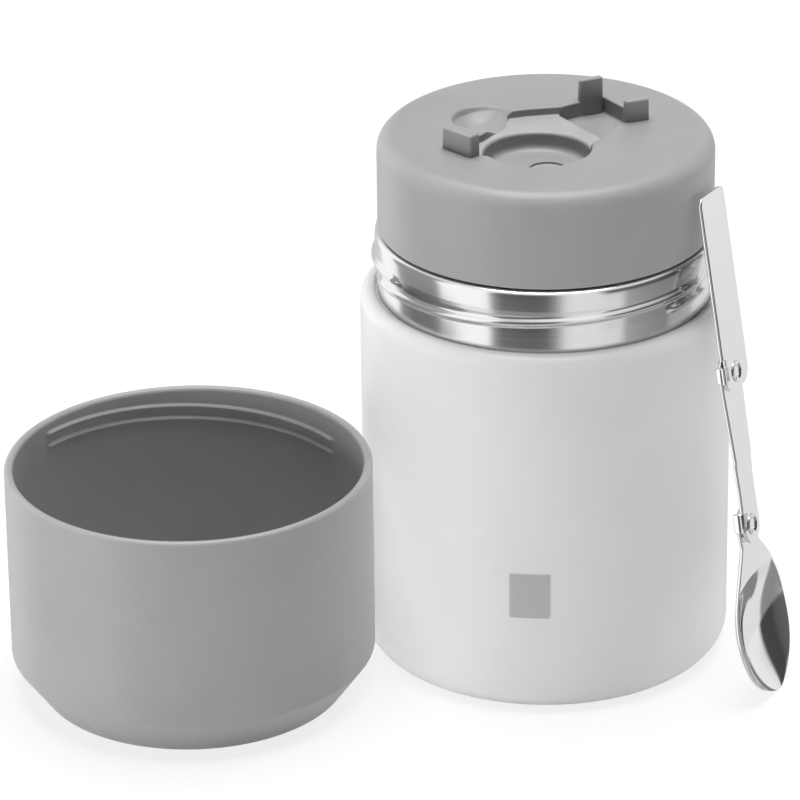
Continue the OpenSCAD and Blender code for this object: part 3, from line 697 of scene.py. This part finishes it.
def makeCup(c):
    turn = math.radians(c["azimuth"])
    centre = c["away"] * math.cos(turn), c["away"] * math.sin(turn)
    r, h, rim = c["radius"], c["height"], c["wall"] / 2
    outside = softPath([(0, 0), (c["foot"] - 0.25, 0, 0.9), (r, c["footHeight"], 1.6), (r, h - rim)], 9)
    edge = [(r - rim + rim * math.cos(math.pi * i / 16), h - rim + rim * math.sin(math.pi * i / 16)) for i in range(17)]
    upper, lower = (helixBump(height=h - drop - c["ridgeFall"], **c["ridge"]) for drop in c["ridgeDrops"])
    bore = steppedRows([(c["bore"], h - rim), (c["bore"], h - 13)], lambda a, z: min(upper(a, z), lower(a, z)),
                       h - 14, h, 0.14)
    inside = softPath([(c["bore"], h - 13), (c["bore"], c["footHeight"] + 1.6, 2.0), (c["foot"] - 1, c["wall"], 2.5),
                       (0, c["wall"])], 9)
    rows = [(*p, None) for p in outside[:-1] + edge[:-1]] + bore + [(*p, None) for p in inside[1:]]
    points, faces = turned(rows, c["columns"], centre, closed=False)
    newPiece("cupShell", points, faces, "cup", cupPlastic, ["cup_shell"])


makeCup(cup)
print("cup done")


# Spoon: x is the face's normal, y its width and z its length, from the bowl's rivet

joints = {joint["name"]: joint for joint in frame["record"]["behaviour"]["joints"]}
rivetAt = Vector(joints["bowl_fold"]["pos_m"]) / mm
spoon = dict(turn=-25.0, lean=11.35, tilt=5.3, plate=1.0, washer=0.9, upperWasher=0.7, bowlTurn=7.0, bowlLength=51.8,
             bowlWidth=33.6, bowlDepth=4.25, bowlStart=14.5, bowlNeck=5.4, bowlWidest=29.9, rimFlat=10, rimLow=26,
             rimDip=0.35, rimLift=1.05, tang=10.2, armLength=45.0, armEnd=10.8, armWaist=10.2,
             armTop=14.0, bow=0.3, bowStart=4.5, bowEnd=38.5, crease=19.6, creaseDip=1.8, creaseStep=0.2,
             gripLength=51.9, gripWidth=16.6, soft=0.3)
spoonPlace = (Matrix.Translation(rivetAt) @ Matrix.Rotation(math.radians(spoon["turn"]), 4, "Z")
              @ Matrix.Rotation(math.radians(-spoon["lean"]), 4, "Y")
              @ Matrix.Rotation(math.radians(-spoon["tilt"]), 4, "X"))
gripPlace = spoonPlace @ Matrix.Translation((0, 0, spoon["armLength"]))


def sheetSkin(stations, lift, columns, thick, soft, corner=3):
    # a closed plate: stations are (height, left, right, fullness), lift(y, z) is the height of its front face
    points, faces = [], []
    for z, left, right, full in stations:
        half = thick * full / 2
        r = min(soft, half * 0.98, (right - left) * 0.3)

        def front(y):
            return lift(y, z) - thick / 2 + half
        loop = []
        for i in range(columns + 1):
            y = left + r + (right - left - 2 * r) * i / columns
            loop.append((front(y), y))
        for side, edge in ((1, right - r), (-1, left + r)):
            x0 = front(edge)
            over = [(x0 - r + r * math.sin(math.radians(a)), edge + side * r * math.cos(math.radians(a)))
                    for a in [90 - 90 * k / corner for k in range(1, corner + 1)]]
            under = [(x0 - 2 * half + r - r * math.sin(math.radians(a)), edge + side * r * math.cos(math.radians(a)))
                     for a in [90 * k / corner for k in range(corner)]]
            if side == 1:
                loop += over + under
                for i in range(columns + 1):
                    y = right - r - (right - left - 2 * r) * i / columns
                    loop.append((front(y) - 2 * half, y))
            else:
                loop += under[::-1] + over[::-1]
        points += [(x, y, z) for x, y in loop]
    ring = len(points) // len(stations)
    for i in range(len(stations) - 1):
        for j in range(ring):
            k = (j + 1) % ring
            faces.append((i * ring + j, i * ring + k, (i + 1) * ring + k, (i + 1) * ring + j))
    faces.append(tuple(range(ring - 1, -1, -1)))
    faces.append(tuple(range((len(stations) - 1) * ring, len(stations) * ring)))
    return points, faces


def fullnessAt(distance, soft, thick):
    # how full the plate is at a distance from its end, for a rounded end
    if distance >= soft:
        return 1.0
    return 1 - (2 * soft / thick) * (1 - math.sqrt(max(0, 1 - (1 - distance / soft) ** 2)))


def bowlHalf(d, s):
    # half the bowl's width at a distance down from its rivet: straight neck, swelling sides, blunt tip
    tang, widest = s["tang"] / 2, s["bowlWidest"]
    if d < 0:
        return math.sqrt(max(0.05, tang * tang - d * d))
    if d < s["bowlNeck"]:
        return tang
    if d < widest:
        u = (widest - d) / (widest - s["bowlNeck"])
        return tang + (s["bowlWidth"] / 2 - tang) * (1 - u * u) * (1 - 0.25 * u ** 4)
    v = min(0.9985, (d - widest) / (s["bowlLength"] - widest))
    return s["bowlWidth"] / 2 * (1 - v ** 2.7) ** 0.68


def bowlRim(d, s):
    # the rim dips a little towards the hollow's middle and lifts again at the tip
    if d < s["rimFlat"]:
        return 0.0
    if d < s["rimLow"]:
        u = (d - s["rimFlat"]) / (s["rimLow"] - s["rimFlat"])
        return -s["rimDip"] * u * u * (3 - 2 * u)
    return -s["rimDip"] + s["rimLift"] * ((d - s["rimLow"]) / (s["bowlLength"] - s["rimLow"])) ** 1.4


def bowlHollow(d, s):
    u = (d - s["bowlStart"]) / (s["bowlLength"] - s["bowlStart"])
    return s["bowlDepth"] * (4 * u * (1 - u)) ** 1.05 if 0 < u < 1 else 0.0


def makeBowl(s):
    def lift(y, z):
        d = -z
        t = min(1.0, abs(y) / bowlHalf(d, s))
        return bowlRim(d, s) - bowlHollow(d, s) * (1 - t ** 3) ** 0.92
    first, last, count = -s["tang"] / 2 * 0.995, s["bowlLength"] - 0.02, 150
    stations = []
    for i in range(count + 1):
        d = first + (last - first) * (1 - math.cos(math.pi * i / count)) / 2
        half = bowlHalf(d, s)
        full = min(fullnessAt(d - first, 0.3, s["plate"]), fullnessAt(last - d, 0.35, s["plate"]))
        stations.append((-d, -half, half, full))
    points, faces = sheetSkin(stations, lift, 40, s["plate"], s["soft"])
    place = spoonPlace @ Matrix.Rotation(math.radians(s["bowlTurn"]), 4, "X")
    newPiece("spoonBowl", points, faces, "bowl", spoonSteel, ["spoon_bowl"], matrix=place, angle=50)


def bentEar(front, back, side, edge, low, high, bend=1.35):
    # a tab that runs off the plate's left edge and folds back: outline in x and y, upright along z
    thick = 1.0
    outer = [(front, edge + 3.0), (front, side + bend)]
    outer += [(front - bend + bend * math.cos(math.radians(a)), side + bend - bend * math.sin(math.radians(a)))
              for a in (15, 30, 45, 60, 75, 90)]
    outer += [(back, side)]
    inner = [(back, side + thick), (front - bend, side + thick)]
    small = bend - thick + 0.12
    inner += [(front - thick - small + small * math.sin(math.radians(a)),
               side + thick + small - small * math.cos(math.radians(a))) for a in (0, 30, 60, 90)]
    inner += [(front - thick, edge + 3.0)]
    return bevelledBlock(outer + inner, low, high, 0.3, 3, 40)


def makeArm(s):
    length, front = s["armLength"], s["washer"] + s["plate"]
    widths = [(0, s["armEnd"] / 2), (length * 0.25, s["armWaist"] / 2), (length * 0.5, s["armWaist"] / 2 + 0.7),
              (length, s["armTop"] / 2)]

    def half(z):
        if z < 0:
            return math.sqrt(max(0.04, (s["armEnd"] / 2) ** 2 - z * z))
        if z > length:
            return math.sqrt(max(0.04, (s["armTop"] / 2) ** 2 - (z - length) ** 2))
        for (z0, w0), (z1, w1) in zip(widths, widths[1:]):
            if z <= z1:
                return w0 + (w1 - w0) * (z - z0) / (z1 - z0)

    def lift(y, z):
        # the arm bows out a little towards a curved crease, and below that its face lies a hair lower
        crease = s["crease"] - s["creaseDip"] * max(0, 1 - (y / 5.4) ** 2)
        step = min(1, max(0, (crease - z) / 0.5))
        fade = min(1, max(0, (z - 6) / 8))
        if z < crease:
            near = (z - s["bowStart"]) / (crease - s["bowStart"])
        else:
            near = (s["bowEnd"] - z) / (s["bowEnd"] - crease)
        bow = s["bow"] * min(1, max(0, near))
        return front + bow - s["creaseStep"] * step * step * (3 - 2 * step) * fade

    lowEnd, highEnd = -s["armEnd"] / 2, length + s["armTop"] / 2
    heights = [lowEnd + 5.4 * (1 - math.cos(math.pi / 2 * i / 14)) for i in range(14)]
    heights += [17.0 * i / 20 for i in range(20)] + [17 + 0.18 * i for i in range(18)]
    heights += [20.24 + (length - 20.24) * i / 24 for i in range(24)]
    heights += [length + 7.0 * math.sin(math.pi / 2 * i / 16) for i in range(17)]
    stations = [(z, -half(z), half(z), min(fullnessAt(z - lowEnd, 0.28, 1), fullnessAt(highEnd - z, 0.28, 1)))
                for z in heights]
    plate = sheetSkin(stations, lift, 22, s["plate"], s["soft"])
    ear = bentEar(front, -0.9, -s["armEnd"] / 2 - 1, -s["armEnd"] / 2 + 0.4, -1.0, 4.7)
    points, faces = merged(plate, ear)
    newPiece("spoonArm", points, faces, "arm", spoonSteel, ["spoon_arm"], matrix=spoonPlace, angle=40)


def makeGrip(s):
    half, length, end, corner = s["gripWidth"] / 2, s["gripLength"], 4.6, 2.5
    front = s["washer"] + 2 * s["plate"] + s["upperWasher"]

    def side(z, left):
        if z < 0:
            reach = half - end + math.sqrt(max(0, end * end - z * z))
            if left and z > -1.5:
                return half
            return reach
        if left and 3.2 < z < 5.2:
            return half - 2.0
        if z > length - corner:
            return half - corner + math.sqrt(max(0, corner * corner - (z - length + corner) ** 2))
        return half
    heights = [-end * math.cos(math.pi / 2 * i / 14) for i in range(14)]
    heights += [-1.51, -1.49, 0, 1.5, 3.19, 3.21, 5.19, 5.21]  # a pair on each side of the ear's and notch's ends
    heights += [5.21 + (length - corner - 5.21) * i / 30 for i in range(1, 30)]
    heights += [length - corner + corner * math.sin(math.pi / 2 * i / 12) for i in range(13)]
    heights = sorted(set(round(z, 4) for z in heights))
    stations = [(z, -side(z, True), side(z, False),
                 min(fullnessAt(z + end, 0.28, 1), fullnessAt(length - z, 0.28, 1))) for z in heights]
    plate = sheetSkin(stations, lambda y, z: front, 16, s["plate"], s["soft"])
    ear = bentEar(front, s["washer"] + 0.1, -half, -half + 0.4, -1.5, 3.2)
    points, faces = merged(plate, ear)
    newPiece("spoonGrip", points, faces, "grip", spoonSteel, ["spoon_grip"], matrix=gripPlace, angle=40)


def makeRivet(name, node, place, back, front):
    # a hollow rivet: rolled rims on both faces, each dished in the middle
    head, high, shank = 3.0, 0.35, 1.58

    def rim(x, way, high):
        return [(0, x - way * 0.55), (0.8, x - way * 0.48), (1.35, x - way * 0.2), (1.75, x + way * 0.1),
                (2.2, x + way * high * 0.72), (2.45, x + way * high * 0.97), (2.65, x + way * high),
                (2.85, x + way * high * 0.84), (head, x + way * high * 0.4), (head, x + way * 0.02), (shank, x)]
    points, faces = turned(rim(back, -1, high - 0.05) + rim(front, 1, high)[::-1], 64, closed=False)
    lay = place @ Matrix.Rotation(math.radians(90), 4, "Y")
    newPiece(name, points, faces, "arm", rivetSteel, [node], matrix=lay, angle=30)


makeBowl(spoon)
makeArm(spoon)
makeGrip(spoon)
makeRivet("bowlRivet", "bowl_rivet", spoonPlace, -1.05, 1.95)
makeRivet("gripRivet", "grip_rivet", gripPlace, 0.85, 3.65)
print("spoon done")


# Badge plate: blank, its corners rounded, curved to the body

badge = dict(width=11.3, height=13.8, z=37.5, turn=-6.6, radius=52.5, thick=0.25, corner=0.5, step=0.4)


def makeBadge(b):
    outline = roundedOutline([(-b["width"] / 2, -b["height"] / 2), (b["width"] / 2, -b["height"] / 2),
                              (b["width"] / 2, b["height"] / 2), (-b["width"] / 2, b["height"] / 2)], b["corner"])
    loops = [offsetLoop(outline, inward, b["step"]) for inward in (0, 0.02, 0.08, 0.2, 0.6)]
    lifts = [0.0, b["thick"] * 0.7, b["thick"] * 0.93, b["thick"], b["thick"]]
    points, faces = [], []
    turn = math.radians(b["turn"])

    def onBody(x, z, up):
        a = math.radians(-90) + turn + math.asin(max(-1, min(1, x / b["radius"])))
        return ((b["radius"] + up) * math.cos(a), (b["radius"] + up) * math.sin(a), b["z"] + z)
    count = len(loops[0])
    for loop, up in zip(loops, lifts):
        points += [onBody(p.x, p.y, up) for p in loop]
    for i in range(len(loops) - 1):
        faces += [(i * count + j, i * count + (j + 1) % count, (i + 1) * count + (j + 1) % count, (i + 1) * count + j)
                  for j in range(count)]
    faces.append(tuple(range(count - 1, -1, -1)))
    # the face is a net of narrow strips, so that it follows the curve
    last = loops[-1]
    grid = [Vector((x * 0.5, z * 1.5)) for x in range(-9, 10) for z in range(-4, 5)]
    net = geometry.delaunay_2d_cdt(last + grid, [(i, (i + 1) % count) for i in range(count)], [], 1, 1e-4)
    face = [onBody(p.x, p.y, b["thick"]) for p in net[0]]
    points, faces = merged((points, faces), (face, [tuple(f) for f in net[2]]))
    newPiece("badgePlate", points, faces, "jar", badgeSteel, ["badge_plate"], weld=0.004, angle=50)


makeBadge(badge)


# Fill plug in the well's floor

fillPlug = dict(radius=5.4, top=148.9, low=147.5)


def makeFillPlug(f):
    turn = math.radians(lid["restTurn"])
    x, y = spoonRest["plugAt"]
    centre = (x * math.cos(turn) - y * math.sin(turn), x * math.sin(turn) + y * math.cos(turn))
    r, top, under = f["radius"], f["top"], f["top"] - 0.45
    rows = softPath([(0, top - 0.12), (0.9, top - 0.12, 0.3), (1.2, top, 0.2), (r, top, 0.25), (r, under, 0.05),
                     (1.9, under), (1.9, f["low"]), (0, f["low"])], 18)
    points, faces = turned(rows, 96, centre, closed=False)
    newPiece("fillPlug", points, faces, "stopper", plugPlastic, ["fill_plug"])


makeFillPlug(fillPlug)
print("small pieces done")


# Parts kept from the frame

for node, finish in (("inner_liner", linerSteel), ("base_plate", spunSteel), ("vacuum_seal", sealResin),
                     ("getter_pill", pelletSteel), ("lid_plug", palePlastic), ("lid_foam", foam),
                     ("lid_gasket", silicone), ("bowl_washer", washerSteel), ("grip_washer", washerSteel)):
    for slot in frame["nodes"][node].material_slots:
        slot.material = finish
print("frame parts dressed")


# Studio

# each line is where one brightness gives way to the next, as the height of a direction
studio = dict(world=0.11, bandLine=(-0.25, -0.21), groundLine=(-0.58, -0.52), ground=0.31, overheadLine=(0.55, 0.8),
              overhead=0.5, mirroredStrength=2.0, floorBounce=0.74, floorGlow=0.76, floorShade=0.3,
              floorEdge=(0.4, 0.8))
# what polished metal mirrors: azimuth from the front, positive to the right, and the brightness there
leftBands = [(-180, 0.6), (-150, 0.75), (-142, 1.2), (-121, 1.2), (-117, 0.4), (-104, 0.34), (-79, 0.36), (-74, 1.24),
             (-41, 1.24), (-37, 0.36), (-31, 0.15), (-9, 0.11), (-1, 0.14), (5, 0.34), (12, 0.86), (18, 0.94)]
lowBands = leftBands + [(50, 0.9), (55, 0.45), (70, 0.34), (88, 0.28), (112, 0.3), (118, 0.84), (146, 0.84), (180, 0.6)]
highBands = leftBands + [(33, 0.9), (40, 0.17), (59, 0.13), (78, 0.11), (90, 0.065), (116, 0.07), (120, 0.93),
                         (135, 0.93), (139, 0.24), (149, 0.2), (153, 0.8), (180, 0.6)]


def bandRamp(tree, share, bands):
    ramp = addNode(tree, "ShaderNodeValToRGB", {"Fac": share})
    stops = ramp.color_ramp.elements
    while len(stops) > 1:
        stops.remove(stops[-1])
    for i, (angle, level) in enumerate(bands):
        stop = stops[0] if i == 0 else stops.new((angle + 180) / 360)
        stop.position = (angle + 180) / 360
        stop.color = (level / 2, level / 2, level / 2, 1)
    return ramp.outputs[0]


def mixShader(tree, amount, under, over):
    return addNode(tree, "ShaderNodeMixShader", {0: amount, 1: under, 2: over}).outputs[0]


def grey(level):
    return (level, level, level, 1)


def makeWorld(s):
    world = bpy.data.worlds.new("studioWorld")
    scene.world = world
    world.use_nodes = True
    tree = world.node_tree
    tree.nodes.clear()
    way = addNode(tree, "ShaderNodeTexCoord").outputs["Generated"]
    parts = addNode(tree, "ShaderNodeSeparateXYZ", {0: way})
    front = combine(tree, "MULTIPLY", parts.outputs["Y"], -1.0)
    azimuth = combine(tree, "ARCTAN2", parts.outputs["X"], front)
    share = rise(tree, azimuth, -math.pi, math.pi)

    def above(line):
        return rise(tree, parts.outputs["Z"], *line)

    def glow(colour, strength):
        return addNode(tree, "ShaderNodeBackground", {"Color": colour, "Strength": strength}).outputs[0]

    nearGround, nearSky = (bandRamp(tree, share, b) for b in (lowBands, highBands))
    bands = mixColour(tree, above(s["bandLine"]), nearGround, nearSky)
    bands = mixColour(tree, above(s["groundLine"]), grey(s["ground"]), bands)
    # overhead the bands give way to a broad soft light
    bands = mixColour(tree, above(s["overheadLine"]), bands, grey(s["overhead"]))
    mirrored, soft, white = glow(bands, s["mirroredStrength"]), glow(grey(1), s["world"]), glow(grey(1), 1.0)
    path = addNode(tree, "ShaderNodeLightPath")
    lit = mixShader(tree, path.outputs["Is Glossy Ray"], soft, mirrored)
    seen = mixShader(tree, path.outputs["Is Camera Ray"], lit, white)
    clear = mixShader(tree, path.outputs["Is Transmission Ray"], seen, white)
    addNode(tree, "ShaderNodeOutputWorld", {0: clear})


def makeFloor(s):
    mesh = bpy.data.meshes.new("floor")
    form = bmesh.new()
    bmesh.ops.create_grid(form, x_segments=8, y_segments=8, size=8.0)
    form.to_mesh(mesh)
    form.free()
    floor = bpy.data.objects.new("floor", mesh)
    scene.collection.objects.link(floor)
    finish = bpy.data.materials.new("paleFloor")
    finish.use_nodes = True
    tree = finish.node_tree
    tree.nodes.clear()
    path = addNode(tree, "ShaderNodeLightPath")
    bounce = addNode(tree, "ShaderNodeBsdfDiffuse", {"Color": grey(s["floorBounce"])}).outputs[0]
    # further out, where no shadow falls, the floor turns plain white
    out = addNode(tree, "ShaderNodeVectorMath", {0: objectPoint(tree)}, operation="LENGTH").outputs["Value"]
    whiter = rise(tree, out, *s["floorEdge"], s["floorGlow"], 1.0)
    glow = addNode(tree, "ShaderNodeEmission", {"Color": grey(1), "Strength": whiter}).outputs[0]
    shade = addNode(tree, "ShaderNodeBsdfDiffuse", {"Color": grey(s["floorShade"])}).outputs[0]
    seen = addNode(tree, "ShaderNodeAddShader", {0: glow, 1: shade}).outputs[0]
    unseen = addNode(tree, "ShaderNodeBsdfTransparent").outputs[0]
    camera = mixShader(tree, path.outputs["Is Camera Ray"], bounce, seen)
    glossy = mixShader(tree, path.outputs["Is Glossy Ray"], camera, unseen)
    backfacing = addNode(tree, "ShaderNodeNewGeometry").outputs["Backfacing"]
    addNode(tree, "ShaderNodeOutputMaterial", {0: mixShader(tree, backfacing, glossy, unseen)})
    mesh.materials.append(finish)


def pieceSet(name, pieces, state):
    group = bpy.data.collections.new(name)
    for piece in pieces:
        group.objects.link(piece)
    for entry in group.collection_objects:
        entry.light_linking.link_state = state
    return group


def addSoftLight(name, azimuth, level, elevation=0, distance=0.9, size=(0.5, 0.15), mirrored=False, past=(),
                 skips=(), only=()):
    # level is the brightness that it gives a white surface facing it
    a, e = math.radians(azimuth), math.radians(elevation)
    way = Vector((math.sin(a) * math.cos(e), -math.cos(a) * math.cos(e), math.sin(e)))
    data = bpy.data.lights.new(name, "AREA")
    data.shape = "RECTANGLE"
    data.size, data.size_y = size
    data.energy = level * math.pi ** 2 * distance ** 2
    lamp = bpy.data.objects.new(name, data)
    lamp.location = Vector((0, 0, 0.08)) + way * distance
    lamp.rotation_mode = "QUATERNION"
    lamp.rotation_quaternion = (-way).to_track_quat("-Z", "Y")
    lamp.visible_glossy = mirrored
    lamp.visible_camera = False
    scene.collection.objects.link(lamp)
    # pieces that throw no shadow from it, that it doesn't light, or that it alone lights
    if past:
        lamp.light_linking.blocker_collection = pieceSet(name + "Past", past, "EXCLUDE")
    if skips:
        lamp.light_linking.receiver_collection = pieceSet(name + "Skips", skips, "EXCLUDE")
    if only:
        lamp.light_linking.receiver_collection = pieceSet(name + "Only", only, "INCLUDE")


# the focal length is in pixels of a square picture; drop lowers the camera across its own line of sight
view = dict(at=(-41.542, -1394.967, 725.276), tilt=65, roll=-0.674, drop=0.5, focalPixels=5390, picturePixels=800,
            sensor=36.0, clip=(0.05, 20))


def makeCamera(v):
    data = bpy.data.cameras.new("camera")
    data.sensor_width = v["sensor"]
    data.lens = v["sensor"] * v["focalPixels"] / v["picturePixels"]
    data.clip_start, data.clip_end = v["clip"]
    camera = bpy.data.objects.new("camera", data)
    scene.collection.objects.link(camera)
    aim = Matrix.Rotation(math.radians(v["tilt"]), 4, "X") @ Matrix.Rotation(math.radians(v["roll"]), 4, "Z")
    where = Vector(v["at"]) * mm - (aim @ Vector((0, 1, 0))) * v["drop"] * mm
    camera.matrix_world = Matrix.Translation(where) @ aim
    scene.camera = camera


makeWorld(studio)
makeFloor(studio)
cupPiece = bpy.data.objects["cupShell"]
spoonPieces = [bpy.data.objects[name] for name in ("spoonBowl", "spoonArm", "spoonGrip", "bowlRivet", "gripRivet")]
spoonPieces += [frame["nodes"][node] for node in ("bowl_washer", "grip_washer")]
lamps = dict(topLight=dict(azimuth=180, elevation=84, distance=1.6, size=(1.2, 1.2), level=1.0, mirrored=True),
             leftStrip=dict(azimuth=-62, level=0.53, past=[cupPiece], skips=[cupPiece]),
             cupStrip=dict(azimuth=-60, level=0.41, only=[cupPiece]),
             rightStrip=dict(azimuth=50, level=0.15, size=(0.4, 0.15), past=spoonPieces),
             backLeftStrip=dict(azimuth=-130, level=0.2),
             backRightStrip=dict(azimuth=96, level=0.19, past=spoonPieces))
for name, lamp in lamps.items():
    addSoftLight(name, **lamp)
makeCamera(view)
scene.view_settings.view_transform = "Standard"
print("studio ready")
